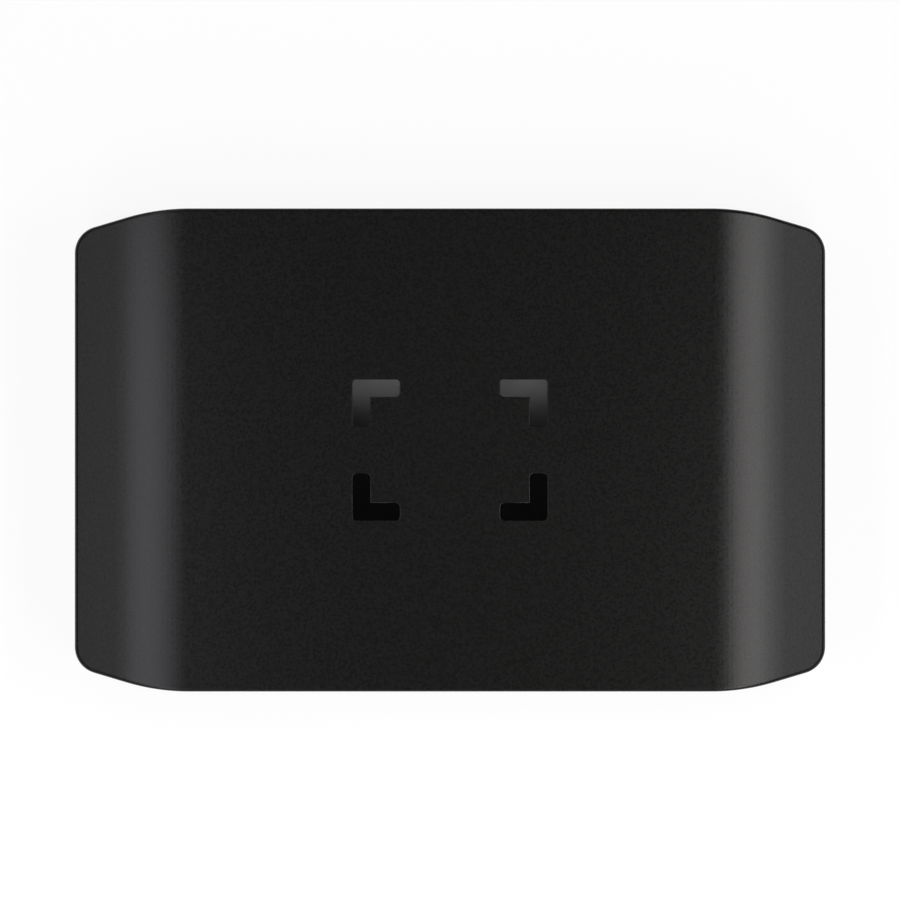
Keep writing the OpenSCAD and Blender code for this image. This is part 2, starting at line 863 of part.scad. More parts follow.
// Surge guards between the sockets and their chips
module surge_guards() {
  color(chip_black) {
    for (x = [video_in_x, video_out_x], i = [-1.5 : 1.5])
      chip(guard, [x + guard_pitch * i, video_back_y - tail[1] - guard_gap]);
    for (i = [-0.5, 0.5]) chip(guard, [data_x + guard_pitch * i, data_back_y - tail[1] - guard_gap]);
  }
}

module ceramic_capacitors() {
  color([0.6, 0.5, 0.38])
  for (i = [-4 : 4]) {
    for (s = [-1, 1])
      chip(ceramic, processor_at + [small_pitch * i, s * (processor[1] / 2 + small_gap)]);
    chip(ceramic, [power_x + inductor[0] / 2 + small_gap, wide_pitch * i]);
    chip(ceramic, converter_at + [small_pitch * i, converter[1] / 2 + small_gap]);
  }
}

module chip_resistors() {
  color([0.15, 0.15, 0.16])
  for (i = [-4 : 4]) {
    chip(resistor, receiver_at + [small_pitch * i, -receiver[1] / 2 - small_gap]);
    chip(resistor, bridge_at + [small_pitch * i, -bridge[1] / 2 - small_gap]);
    chip(resistor, driver_at + [small_pitch * i, -driver[1] / 2 - small_gap]);
  }
}

// Heat spreader

module heat_spreader() {
  fin_h = roof_z - fin_roof_gap - spreader_z;
  color([0.7, 0.71, 0.73])
  difference() {
    translate([spreader_at[0], spreader_at[1], spreader_z]) {
      block([spreader_w, spreader_d, spreader_t]);
      for (i = [0 : fin_n - 1])
        translate([(i - (fin_n - 1) / 2) * fin_pitch, 0, 0]) block([fin_t, spreader_d, fin_h]);
    }
    for (p = spacer_at)
      translate([p[0], p[1], spreader_z - eps]) cylinder(spreader_t + 2 * eps, r = small_screw_r + head_gap);
  }
}

module thermal_pads() {
  color([0.5, 0.6, 0.75]) {
    on_board(processor_at) translate([0, 0, processor[2]])
      block([processor_lid[0] - 2 * thermal_edge, processor_lid[1] - 2 * thermal_edge,
             spreader_lift - processor[2]]);
    for (p = memory_at)
      on_board(p) translate([0, 0, memory[2]])
        block([memory[0] - 2 * thermal_edge, memory[1] - 2 * thermal_edge, spreader_lift - memory[2]]);
  }
}

// Spacers between the board and the spreader, which the screws bite into
module spreader_spacers() {
  color(gold)
  for (p = spacer_at)
    on_board(p)
      difference() {
        cylinder(spreader_lift, r = spacer_r);
        translate([0, 0, -eps]) cylinder(spreader_lift + 2 * eps, r = small_screw_r + thread_gap);
      }
}

module spreader_screws() {
  reach = spreader_t + spreader_lift + board_t;
  color(steel)
  for (p = spacer_at)
    translate([p[0], p[1], spreader_z + spreader_t])
      mirror([0, 0, 1]) pan_screw(small_head_r, small_head_h, small_screw_r, reach);
}

// Fasteners

module board_screws() {
  color(steel)
  for (sx = [-1, 1])
    translate([sx * standoff_x, 0, board_top])
      mirror([0, 0, 1]) pan_screw(small_head_r, small_head_h, small_screw_r, small_screw_len);
}

module case_screws() {
  color(steel)
  at_corners(boss_x, boss_y)
    translate([0, 0, case_seat_z]) pan_screw(case_head_r, case_head_h, case_screw_r, case_screw_len);
}

upper_shell();
lower_shell();
front_panel();
rear_panel();
foot_pad();
main_board();
video_shell(video_in_x);  // video_in_shell
video_insulator(video_in_x);  // video_in_insulator
video_contacts(video_in_x);  // video_in_contacts
video_shell(video_out_x);  // video_out_shell
video_insulator(video_out_x);  // video_out_insulator
video_contacts(video_out_x);  // video_out_contacts
data_socket_shell();
data_socket_insulator();
data_socket_contacts();
sound_jack_housing();
sound_jack_springs();
light_pipe();
status_leds();
video_processor();
video_receiver();
video_driver();
data_bridge();
memory_chips();
flash_chips();
sound_converter();
power_regulators();
power_inductors();
polymer_capacitors();
clock_crystals();
surge_guards();
ceramic_capacitors();
chip_resistors();
heat_spreader();
thermal_pads();
spreader_spacers();
spreader_screws();
board_screws();
case_screws();
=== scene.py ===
"""Looks of the video capture box: the pieces that show are modelled again with their rounded edges,
every piece gets its finish, and the scene gets its floor, lamps and camera.

A piece is drawn in millimetres, with the sizes of the part's source. The scene is in metres.
"""
import math

import bmesh
import bpy
from mathutils import Matrix, Vector


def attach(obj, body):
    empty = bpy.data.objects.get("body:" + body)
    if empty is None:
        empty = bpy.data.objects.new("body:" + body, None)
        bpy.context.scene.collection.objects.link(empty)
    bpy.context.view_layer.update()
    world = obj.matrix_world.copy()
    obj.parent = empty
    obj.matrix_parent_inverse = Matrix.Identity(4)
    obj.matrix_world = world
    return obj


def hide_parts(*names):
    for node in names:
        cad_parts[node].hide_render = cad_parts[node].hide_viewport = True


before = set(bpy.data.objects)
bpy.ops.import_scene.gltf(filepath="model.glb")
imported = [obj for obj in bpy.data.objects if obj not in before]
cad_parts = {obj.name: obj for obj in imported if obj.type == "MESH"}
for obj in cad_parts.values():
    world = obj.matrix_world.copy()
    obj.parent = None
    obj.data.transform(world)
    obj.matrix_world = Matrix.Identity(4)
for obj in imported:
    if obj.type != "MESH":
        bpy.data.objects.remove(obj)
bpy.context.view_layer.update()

MM = 0.001
NEAR = 1e-3                       # places closer than this are one place
MERGE = 5e-4                      # vertices closer than this become one
ON_PLANE = 1e-5                   # a vertex closer than this to a cut isn't cut off
SHARP = 0.5                       # faces that turn by more than this, in radians, meet in a corner
CREASE = math.radians(32)         # faces that turn by more than this aren't shaded as one
BEND_STEPS = 14                   # steps of an arc with a wide radius
WIDE_R = 10.0
ARC_STEP = math.radians(7)        # turn of one step of any other arc
TURN_STEPS = 40
FIT_GAP = 0.1
SINK = 0.2                        # how far a post reaches into the wall that it stands on

# Case: heights in a half of it are from the parting plane
SEAM_Z = 9.3                      # parting plane of the two shells
HALF_H = 8.7                      # from the parting plane to the flat top or underside
HALF_W = 56.0
HALF_D = 36.0
EDGE_FLAT = 38.8                  # half the straight part of the front and rear edges
TOP_FLAT = 39.2                   # half the flat part of the top
TAPER = math.atan2(7, 24)
PLAN_BEND_R = 34.0
TOP_BEND_R = 39.0
CORNER_R = 4.0
WALL = 1.8
ROOF = HALF_H - WALL              # inside of the flat top or underside
EDGE_R = 0.55                     # rounding of the outer edges
SEAM_R = 0.18                     # rounding along the seam and round the windows
WINDOW = (35.0, 5.0, 2.0)         # half width, half height and corner radius

# Sunk marks in the top
MARKS = (14.5, 10.5)              # half width and half depth over all four
MARK_ARM = 7.0
MARK_STROKE = 2.6
MARK_SINK = 0.4
MARK_CORNER_R = 0.6
MARK_RIM_R = 0.12

# Foot pad
PAD = (37.6, 30.0, 4.0)           # half width, half depth and corner radius
PAD_T = 1.2
PAD_EDGE_R = 0.25
PAD_RECESS = 0.6
PAD_RECESS_RIM_R = 0.15
GROOVE_IN = 1.8                   # from the edge of the pad's flat face
GROOVE_W = 0.6
GROOVE_D = 0.25
GROOVE_SLOPE = 0.2                # width of each sloping side

# Posts in the case
BOSS_AT = (33.4, 25.8)
BOSS_R = 3.2
UPPER_BOSS_TIP = -2.3
SCREW_BORE = (1.23, 3.7)          # radius and far end of the bore that a case screw bites into
LOWER_BOSS_TIP = 3.9
SCREW_HOLE_R = 1.45
SCREW_WELL = (2.25, 5.3)          # radius of the well for a screw's head, and where the head sits
STANDOFF_X = 44.0
STANDOFF_R = 2.6
STANDOFF_BORE = (0.93, 6.4)       # radius and far end
KEEPER_X = 33.0
KEEPER_HALF_W = 2.0
KEEPER_Y = (31.7, 32.9)
KEEPER_LIFT = 0.3                 # from the parting plane, and into the roof
KEEPER_EDGE_R = 0.15
KEEPER_SEAT_R = 0.1

# Panels: depths are from the middle of the case
FLANGE_Y = 33.0
FLANGE_T = 1.2
FLANGE_LAP = 1.2
PANEL_Y = 35.6
PANEL_EDGE_R = 0.14
LETTER_H = 1.3
LETTER_W = 1.0
LETTER_STROKE = 0.24
LETTER_GAP = 0.36
LETTER_BEND_R = 0.34
SCREEN = (0.95, 0.45, 0.17)       # half width of the screen sign, lift over its foot, and line
SCREEN_R = (0.2, 0.05)            # outer and inner corner radius of the screen sign
PRINT_Z = -3.55                   # middle of the print, from the middle of the panel
INK = (0.03, 0.05)                # how far the ink stands out of the panel, and reaches into it

# Sockets
MOUTH_Y = 35.4
LIP_R = 0.09
TAB_LOW = 4.8                     # lower end of the tabs, just under the board
TAB_TOP = 0.3                     # upper end of the tabs, from the middle of the mouth
TAB_HALF_LEN = 0.7
TAB_EDGE_R = 0.06
TONGUE_RECESS = 1.2
TONGUE_ROOT = 0.4
TONGUE_TIP = 0.28                 # rounding of the tip, as a share of the thickness
INSULATOR_EDGE_R = 0.1
VIDEO_X = {"video_in": 0.0, "video_out": -21.0}
VIDEO_Z = 9.875
VIDEO_WALL = 0.35
VIDEO_LEN = 11.5
VIDEO_HALF_W = 7.0
VIDEO_HALF_H = 2.275
VIDEO_FLOOR = 5.2                 # half width of the mouth's floor
VIDEO_SLANT_TOP = 0.125           # height at which the slanting sides turn upright
VIDEO_CORNER_R = (0.6, 0.2)       # corner radius of the mouth, and the least that it may shrink to
VIDEO_TABS = (2.3, 6.5)           # from the back of the socket
VIDEO_TONGUE = (10.8, 6.8, 1.2)   # width, length and thickness
VIDEO_TONGUE_LIFT = 0.3
LEAF = (1.6, 5.0, 0.2)            # width, length and thickness of a spring leaf
LEAF_X = (3.6, 2.7)               # places of the upper and the lower leaves
LEAF_START = 1.5                  # from the mouth
LEAF_BOW = 0.32
LEAF_SINK = 0.06
DATA_X = 21.0
DATA_Z = 8.68
DATA_WALL = 0.3
DATA_LEN = 7.4
DATA_MOUTH = (8.34, 2.56)
DATA_TABS = (0.8, 2.8)
DATA_TONGUE = (6.6, 4.6, 0.7)
ROUND_END = 0.98                  # corner radius as a share of half the mouth's height

# Sound jack and light bar
JACK = (-24.0, 9.6, 2.8)          # place and nose radius of the sound jack
FULL_ROUND = 0.9999               # corner radius as a share of half a round hole's width
LIGHT = (14.0, 1.6)               # width and height of the light bar
LIGHT_HOLE_R = 0.25
LIGHT_BACK_Y = 27.6
LIGHT_LOW = 7.9                   # lower side of the bar behind the panel, over the LEDs
LIGHT_EDGE_R = 0.14
EAR = (1.5, 1.0)                  # reach and thickness of the bar's ears
EAR_ROOT = 0.4
EAR_EDGE_R = 0.12

TOP_Z = (SEAM_Z + HALF_H) * MM    # height of the flat top in the scene

FACING_FRONT = Matrix(((1, 0, 0), (0, 0, -1), (0, 1, 0))).to_4x4()
FACING_REAR = Matrix(((-1, 0, 0), (0, 0, 1), (0, 1, 0))).to_4x4()


# Drawing

def grown(corners, distance):
    """A convex outline, counter-clockwise, moved outwards."""
    points = [Vector(corner) for corner in corners]
    moved = []
    for i, point in enumerate(points):
        before = (point - points[i - 1]).normalized()
        after = (points[(i + 1) % len(points)] - point).normalized()
        out_before = Vector((before.y, -before.x))
        out_after = Vector((after.y, -after.x))
        moved.append(point + distance * (out_before + out_after) / (1 + out_before.dot(out_after)))
    return moved


def box_corners(half_w, half_h):
    return [(half_w, -half_h), (half_w, half_h), (-half_w, half_h), (-half_w, -half_h)]


def outline(bm, corners, radii, at=(0, 0)):
    """Draws a closed outline, counter-clockwise, with an arc spun at each corner that has a radius.

    Gives its edges.
    """
    points = [Vector((x + at[0], y + at[1], 0)) for x, y in corners]
    edges = []
    first = last = None
    for i, corner in enumerate(points):
        arriving = (corner - points[i - 1]).normalized()
        leaving = (points[(i + 1) % len(points)] - corner).normalized()
        turn = arriving.angle(leaving)
        start = corner - arriving * radii[i] * math.tan(turn / 2)
        centre = start + Vector((-arriving.y, arriving.x, 0)) * radii[i]
        vert = bm.verts.new(start)
        if last:
            edges.append(bm.edges.new((last, vert)))
        first = first or vert
        last = vert
        if radii[i]:
            known = set(bm.edges)
            steps = BEND_STEPS if radii[i] > WIDE_R else max(3, round(turn / ARC_STEP))
            arc = bmesh.ops.spin(bm, geom=[vert], cent=centre, axis=(0, 0, 1), angle=turn, steps=steps)
            edges += [edge for edge in bm.edges if edge not in known]
            last = next(item for item in arc["geom_last"] if isinstance(item, bmesh.types.BMVert))
    edges.append(bm.edges.new((last, first)))
    return edges


def faces_in(items):
    return [item for item in items if isinstance(item, bmesh.types.BMFace)]


def filled(bm, edges):
    """Fills an outline, or the space between it and its holes, with as few flat faces as can be."""
    net = bmesh.ops.triangle_fill(bm, edges=edges, use_beauty=True)["geom"]
    bmesh.ops.recalc_face_normals(bm, faces=faces_in(net))
    inner = [item for item in net if isinstance(item, bmesh.types.BMEdge) and item not in set(edges)]
    return bmesh.ops.dissolve_limit(bm, angle_limit=math.radians(0.1), edges=inner, verts=[])["region"]


def extruded(bm, faces, shift, keep_start=True):
    """Extrudes a region of faces and gives the faces of its new end."""
    made = bmesh.ops.extrude_face_region(bm, geom=faces)["geom"]
    moved = [item for item in made if isinstance(item, bmesh.types.BMVert)]
    bmesh.ops.translate(bm, vec=shift, verts=moved)
    if not keep_start:
        bmesh.ops.delete(bm, geom=faces, context="FACES")
    return faces_in(made)


def cut(bm, faces, point, normal):
    """Cuts faces along a plane and gives all the faces that come of them."""
    parts = set(faces)
    for face in faces:
        parts.update(face.edges)
        parts.update(face.verts)
    done = bmesh.ops.bisect_plane(bm, geom=list(parts), plane_co=point, plane_no=normal,
                                  dist=ON_PLANE)
    return faces_in(done["geom"])


def bevel(bm, edges, width, segments):
    bmesh.ops.bevel(bm, geom=edges, offset=width, segments=segments, profile=0.5,
                    affect="EDGES", material=-1)


def corner_edges(bm, keep):
    """Sharp edges whose two ends both pass a test."""
    closed = [edge for edge in bm.edges if len(edge.link_faces) == 2]
    return [edge for edge in closed
            if edge.calc_face_angle() > SHARP and all(keep(vert.co) for vert in edge.verts)]


def block(bm, low, high, rounding=0.0):
    """Adds a box between two corners, with its edges rounded."""
    size = [b - a for a, b in zip(low, high)]
    middle = [(a + b) / 2 for a, b in zip(low, high)]
    place = Matrix.Translation(middle) @ Matrix.Diagonal((*size, 1))
    verts = bmesh.ops.create_cube(bm, size=1, matrix=place)["verts"]
    if rounding:
        bevel(bm, list({edge for vert in verts for edge in vert.link_edges}), rounding, 2)


def turned(bm, profile, x, y):
    """Adds a closed profile of radii and heights, turned about an upright axis."""
    verts = [bm.verts.new((x + r, y, z)) for r, z in profile]
    off_axis = [i for i in range(len(verts)) if profile[i - 1][0] + profile[i][0] > 0]
    edges = [bm.edges.new((verts[i - 1], verts[i])) for i in off_axis]
    bmesh.ops.spin(bm, geom=verts + edges, cent=(x, y, 0), axis=(0, 0, 1),
                   angle=math.tau, steps=TURN_STEPS, use_merge=True)


def piece(name, bm, finishes, node):
    """Makes a drawn mesh one of the box's pieces, in metres, in place of a CAD node."""
    bmesh.ops.remove_doubles(bm, verts=bm.verts, dist=MERGE)
    bmesh.ops.recalc_face_normals(bm, faces=bm.faces)
    bmesh.ops.scale(bm, vec=(MM, MM, MM), verts=bm.verts)
    for face in bm.faces:
        face.smooth = True
    mesh = bpy.data.meshes.new(name)
    bm.to_mesh(mesh)
    bm.free()
    mesh.set_sharp_from_angle(angle=CREASE)
    for finish in finishes:
        mesh.materials.append(finish)
    made = bpy.data.objects.new(name, mesh)
    bpy.context.scene.collection.objects.link(made)
    shading = made.modifiers.new("even_shading", "WEIGHTED_NORMAL")
    shading.keep_sharp = True
    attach(made, "root")
    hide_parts(node)


# Case

def plan():
    """Corners and radii of the case seen from above."""
    bend_x = EDGE_FLAT + PLAN_BEND_R * math.tan(TAPER / 2)
    end_y = HALF_D - (HALF_W - bend_x) * math.tan(TAPER)
    corners = [(bend_x, -HALF_D), (HALF_W, -end_y), (HALF_W, end_y), (bend_x, HALF_D)]
    corners += [(-x, -y) for x, y in corners]
    return corners, [PLAN_BEND_R, CORNER_R, CORNER_R, PLAN_BEND_R] * 2


def crown(x):
    """Height of the top above the parting plane."""
    run = max(abs(x) - TOP_FLAT, 0)
    bend_run = TOP_BEND_R * math.sin(TAPER)
    in_bend = min(run, bend_run)
    drop = TOP_BEND_R - math.sqrt(TOP_BEND_R ** 2 - in_bend ** 2)
    return HALF_H - drop - (run - in_bend) * math.tan(TAPER)


def half_case():
    """Half of the hollow case, with its parting plane at z = 0 and its outside up."""
    bm = bmesh.new()
    base = bmesh.ops.contextual_create(bm, geom=outline(bm, *plan()))["faces"]
    extruded(bm, base, (0, 0, HALF_H), keep_start=False)
    for flat, bend_r in ((TOP_FLAT, TOP_BEND_R), (EDGE_FLAT, PLAN_BEND_R)):
        for step in range(BEND_STEPS + 1):
            station = flat + bend_r * math.sin(TAPER * step / BEND_STEPS)
            for x in (station, -station):
                cut(bm, bm.faces[:], (x, 0, 0), (1, 0, 0))
    for vert in bm.verts:
        if vert.co.z > HALF_H / 2:
            vert.co.z = crown(vert.co.x)
    bmesh.ops.recalc_face_normals(bm, faces=bm.faces)
    open_windows(bm)
    bmesh.ops.solidify(bm, geom=bm.faces[:], thickness=WALL)
    bmesh.ops.recalc_face_normals(bm, faces=bm.faces)
    round_edges(bm)
    return bm


def open_windows(bm):
    """Opens the front and rear walls for the panels."""
    half_w, half_h, _ = WINDOW
    for side in (-1, 1):
        wall = [f for f in bm.faces if f.normal.y * side > 0.99 and abs(f.calc_center_median().x) < 1]
        for x in (-half_w, half_w):
            wall = cut(bm, wall, (x, 0, 0), (1, 0, 0))
        middle = [f for f in wall if abs(f.calc_center_median().x) < half_w]
        middle = cut(bm, middle, (0, 0, half_h), (0, 0, 1))
        below = [f for f in middle if f.calc_center_median().z < half_h]
        bmesh.ops.delete(bm, geom=below, context="FACES")
        cuts = [e for e in bm.edges for x in (-half_w, half_w) if len(e.link_faces) == 2
                and all((v.co - Vector((x, side * HALF_D, v.co.z))).length < NEAR for v in e.verts)]
        bmesh.ops.dissolve_edges(bm, edges=cuts, use_verts=False)
    bmesh.ops.recalc_face_normals(bm, faces=bm.faces)


def round_edges(bm):
    """Rounds the windows' corners, the outer edges of the seam and the windows, and the rim."""
    half_w, half_h, corner_r = WINDOW

    def at_corner(co):
        return abs(abs(co.x) - half_w) < NEAR and abs(co.z - half_h) < NEAR

    def round_window(co):
        return abs(abs(co.y) - HALF_D) < NEAR and co.z < half_h + 10 * NEAR

    def on_rim(co):
        return abs(co.z - crown(co.x)) < NEAR

    def faces_out(face):
        return face.normal.dot(face.calc_center_median()) > 0 and abs(face.normal.z) < 0.1

    corners = corner_edges(bm, at_corner)
    bevel(bm, [edge for edge in corners if edge.calc_length() < 2 * WALL], corner_r, 8)
    seam = corner_edges(bm, lambda co: abs(co.z) < NEAR)
    outside = [edge for edge in seam if any(faces_out(face) for face in edge.link_faces)]
    outside += [edge for edge in corner_edges(bm, round_window) if edge not in outside]
    bevel(bm, outside, SEAM_R, 2)
    bevel(bm, corner_edges(bm, on_rim), EDGE_R, 4)


def sunk(bm, shapes, depth, rim_r):
    """Sinks outlines into the flat top, with their rims rounded, and gives the sunk floors."""
    top = max((f for f in bm.faces if f.normal.z > 0.999 and f.calc_center_median().z > HALF_H - 0.01),
              key=lambda f: f.calc_area())
    border = list(top.edges)
    bmesh.ops.delete(bm, geom=[top], context="FACES_ONLY")
    start = set(bm.verts)
    rims = [outline(bm, corners, radii) for corners, radii in shapes]
    bmesh.ops.translate(bm, vec=(0, 0, HALF_H), verts=[v for v in bm.verts if v not in start])
    filled(bm, border + [edge for rim in rims for edge in rim])
    lids = [face for rim in rims for face in filled(bm, rim)]
    floors = extruded(bm, lids, (0, 0, -depth), keep_start=False)
    bmesh.ops.recalc_face_normals(bm, faces=bm.faces)
    sunk_rims = corner_edges(bm, lambda co: co.z > HALF_H - NEAR and abs(co.y) < HALF_D - 2 * WALL)
    bevel(bm, sunk_rims, rim_r, 3)
    return floors


def corner_mark(side, end):
    """Outline of one of the four corner marks. Its inner corner stays sharp."""
    x, y = MARKS
    corners = [(x - MARK_STROKE, y - MARK_ARM), (x, y - MARK_ARM), (x, y), (x - MARK_ARM, y),
               (x - MARK_ARM, y - MARK_STROKE), (x - MARK_STROKE, y - MARK_STROKE)]
    radii = [MARK_CORNER_R] * 5 + [0]
    if side != end:
        corners.reverse()
        radii.reverse()
    return [(side * cx, end * cy) for cx, cy in corners], radii


def keepers(bm):
    """Posts that hold the panels' flanges, with the seats that they stand on."""
    near_y, far_y = KEEPER_Y
    for side in (-1, 1):
        x0, x1 = side * KEEPER_X - KEEPER_HALF_W, side * KEEPER_X + KEEPER_HALF_W
        for end in (-1, 1):
            y0, y1 = sorted((end * near_y, end * far_y))
            block(bm, (x0, y0, KEEPER_LIFT), (x1, y1, ROOF + KEEPER_LIFT), KEEPER_EDGE_R)
            y0, y1 = sorted((end * (near_y + SINK), end * (HALF_D - WALL + SINK)))
            seat_z = WINDOW[1] + FLANGE_LAP
            block(bm, (x0 + SINK, y0, seat_z), (x1 - SINK, y1, ROOF + SINK), KEEPER_SEAT_R)


def upper_shell(case, gloss):
    bm = half_case()
    marks = [corner_mark(side, end) for side in (-1, 1) for end in (-1, 1)]
    for face in sunk(bm, marks, MARK_SINK, MARK_RIM_R):
        face.material_index = 1
    keepers(bm)
    tip, root = UPPER_BOSS_TIP, ROOF + SINK
    bore_r, bore_end = SCREW_BORE
    boss = [(bore_r, tip), (BOSS_R, tip), (BOSS_R, root), (0, root), (0, bore_end), (bore_r, bore_end)]
    for side in (-1, 1):
        for end in (-1, 1):
            turned(bm, boss, side * BOSS_AT[0], end * BOSS_AT[1])
    bmesh.ops.translate(bm, vec=(0, 0, SEAM_Z), verts=bm.verts)
    piece("upper_shell_moulding", bm, [case, gloss], "upper_shell")


def lower_shell(case):
    bm = half_case()
    half_w, half_d, corner_r = (size + FIT_GAP for size in PAD)
    sunk(bm, [(box_corners(half_w, half_d), [corner_r] * 4)], PAD_RECESS, PAD_RECESS_RIM_R)
    keepers(bm)
    tip, root = LOWER_BOSS_TIP, ROOF + SINK
    well_r, seat = SCREW_WELL
    boss = [(SCREW_HOLE_R, tip), (BOSS_R, tip), (BOSS_R, root), (well_r, root), (well_r, seat),
            (SCREW_HOLE_R, seat)]
    bore_r, bore_end = STANDOFF_BORE
    standoff = [(bore_r, tip), (STANDOFF_R, tip), (STANDOFF_R, root), (0, root), (0, bore_end),
                (bore_r, bore_end)]
    for side in (-1, 1):
        for end in (-1, 1):
            turned(bm, boss, side * BOSS_AT[0], end * BOSS_AT[1])
        turned(bm, standoff, side * STANDOFF_X, 0)
    bmesh.ops.rotate(bm, cent=(0, 0, 0), matrix=Matrix.Rotation(math.pi, 3, "X"), verts=bm.verts)
    bmesh.ops.translate(bm, vec=(0, 0, SEAM_Z), verts=bm.verts)
    piece("lower_shell_moulding", bm, [case], "lower_shell")


def foot_pad(rubber):
    """Pad with a groove moulded round its underside."""
    bm = bmesh.new()
    half_w, half_d, corner_r = PAD
    edges = outline(bm, box_corners(half_w, half_d), [corner_r] * 4)
    extruded(bm, bmesh.ops.contextual_create(bm, geom=edges)["faces"], (0, 0, PAD_T))
    bmesh.ops.recalc_face_normals(bm, faces=bm.faces)
    bevel(bm, corner_edges(bm, lambda co: co.z < NEAR), PAD_EDGE_R, 3)
    under = [max((f for f in bm.faces if f.normal.z < -0.99), key=lambda f: f.calc_area())]
    groove = ((GROOVE_IN, 0), (GROOVE_SLOPE, -GROOVE_D), (GROOVE_W, 0), (GROOVE_SLOPE, GROOVE_D))
    for width, depth in groove:
        bmesh.ops.inset_region(bm, faces=under, thickness=width, depth=depth, use_even_offset=True)
    piece("foot_pad_rubber", bm, [rubber], "foot_pad")


# Panels and sockets

def video_outline(grow):
    """Mouth of a video socket, wide side up, moved outwards."""
    half_w, half_h, bend_z = VIDEO_HALF_W, VIDEO_HALF_H, VIDEO_SLANT_TOP
    mouth = [(VIDEO_FLOOR, -half_h), (half_w, bend_z), (half_w, half_h)]
    mouth += [(-x, z) for x, z in reversed(mouth)]
    corner_r, least_r = VIDEO_CORNER_R
    return grown(mouth, grow), [max(corner_r + grow, least_r)] * len(mouth)


def data_outline(grow):
    """Mouth of the data socket, moved outwards."""
    half_h = DATA_MOUTH[1] / 2 + grow
    return box_corners(DATA_MOUTH[0] / 2 + grow, half_h), [ROUND_END * half_h] * 4


def signs():
    """Half width and outlines of each printed sign. The first outline of a region holds the others."""
    w, h, s = LETTER_W / 2, LETTER_H / 2, LETTER_STROKE
    bend_r = LETTER_BEND_R
    drop = 1.8 * s                # upright cut through the slanting stroke of N
    n = [(-w, -h), (s - w, -h), (s - w, h - drop), (w - s, -h), (w, -h),
         (w, h), (w - s, h), (w - s, drop - h), (s - w, h), (-w, h)]
    u = [(-w, -h), (w, -h), (w, h), (w - s, h), (w - s, s - h), (s - w, s - h), (s - w, h), (-w, h)]
    t = [(-s / 2, -h), (s / 2, -h), (s / 2, h - s), (w, h - s),
         (w, h), (-w, h), (-w, h - s), (-s / 2, h - s)]
    wide, lift, line = SCREEN
    outer_r, inner_r = SCREEN_R
    bezel = [(wide, lift - h), (wide, h), (-wide, h), (-wide, lift - h)]
    screen = [(bezel, [outer_r] * 4), (grown(bezel, -line), [inner_r] * 4)]
    foot = [(w, -h), (w, line - h), (-w, line - h), (-w, -h)]
    return {
        "I": (s / 2, [[(box_corners(s / 2, h), [0] * 4)]]),
        "N": (w, [[(n, [0] * len(n))]]),
        "O": (w, [[(box_corners(w, h), [bend_r] * 4), (box_corners(w - s, h - s), [bend_r - s] * 4)]]),
        "U": (w, [[(u, [bend_r] * 2 + [0] * 6)]]),
        "T": (w, [[(t, [0] * len(t))]]),
        "screen": (wide, [screen, [(foot, [0] * 4)]]),
    }


def printed(bm, words, face_z):
    """Prints words on a panel: thin slabs of ink, with the panel's second finish."""
    known = set(bm.faces)
    known_verts = set(bm.verts)
    alphabet = signs()
    for word, middle in words:
        left = middle - sum(alphabet[sign][0] for sign in word) - LETTER_GAP * (len(word) - 1) / 2
        for sign in word:
            half, regions = alphabet[sign]
            place = (left + half, PRINT_Z)
            for region in regions:
                rims = [e for corners, radii in region for e in outline(bm, corners, radii, place)]
                extruded(bm, filled(bm, rims), (0, 0, sum(INK)))
            left += 2 * half + LETTER_GAP
    ink = [v for v in bm.verts if v not in known_verts]
    bmesh.ops.translate(bm, vec=(0, 0, face_z - INK[1]), verts=ink)
    for face in bm.faces:
        if face not in known:
            face.material_index = 1


def panel(name, holes, words, facing, finishes, node):
    """Glossy insert with a flange behind the case's wall, drawn with its outside up."""
    bm = bmesh.new()
    half_w, half_h, corner_r = WINDOW
    edge = outline(bm, box_corners(half_w - FIT_GAP, half_h - FIT_GAP), [corner_r - FIT_GAP] * 4)
    lap_corners = box_corners(half_w + FLANGE_LAP, half_h + FLANGE_LAP)
    lap = outline(bm, lap_corners, [corner_r + FLANGE_LAP] * 4)
    rims = [e for corners, radii, at in holes for e in outline(bm, corners, radii, at)]
    inner = filled(bm, edge + rims)
    outer = filled(bm, edge + lap)
    raised = extruded(bm, inner + outer, (0, 0, FLANGE_T))
    front = [f for f in raised if all(abs(v.co.x) < half_w and abs(v.co.y) < half_h for v in f.verts)]
    extruded(bm, front, (0, 0, PANEL_Y - FLANGE_Y - FLANGE_T), keep_start=False)
    bmesh.ops.recalc_face_normals(bm, faces=bm.faces)
    bevel(bm, corner_edges(bm, lambda co: co.z > PANEL_Y - FLANGE_Y - NEAR), PANEL_EDGE_R, 3)
    printed(bm, words, PANEL_Y - FLANGE_Y)
    bmesh.ops.translate(bm, vec=(0, 0, FLANGE_Y), verts=bm.verts)
    bmesh.ops.transform(bm, matrix=facing, verts=bm.verts)
    bmesh.ops.translate(bm, vec=(0, 0, SEAM_Z), verts=bm.verts)
    piece(name, bm, finishes, node)


def front_panel(gloss):
    x, z, nose_r = JACK
    hole_r = nose_r + FIT_GAP
    holes = [
        (box_corners(hole_r, hole_r), [hole_r * FULL_ROUND] * 4, (x, z - SEAM_Z)),
        (box_corners(LIGHT[0] / 2 + FIT_GAP, LIGHT[1] / 2 + FIT_GAP), [LIGHT_HOLE_R] * 4, (0, 0)),
    ]
    panel("front_panel_gloss", holes, [], FACING_FRONT, [gloss], "front_panel")


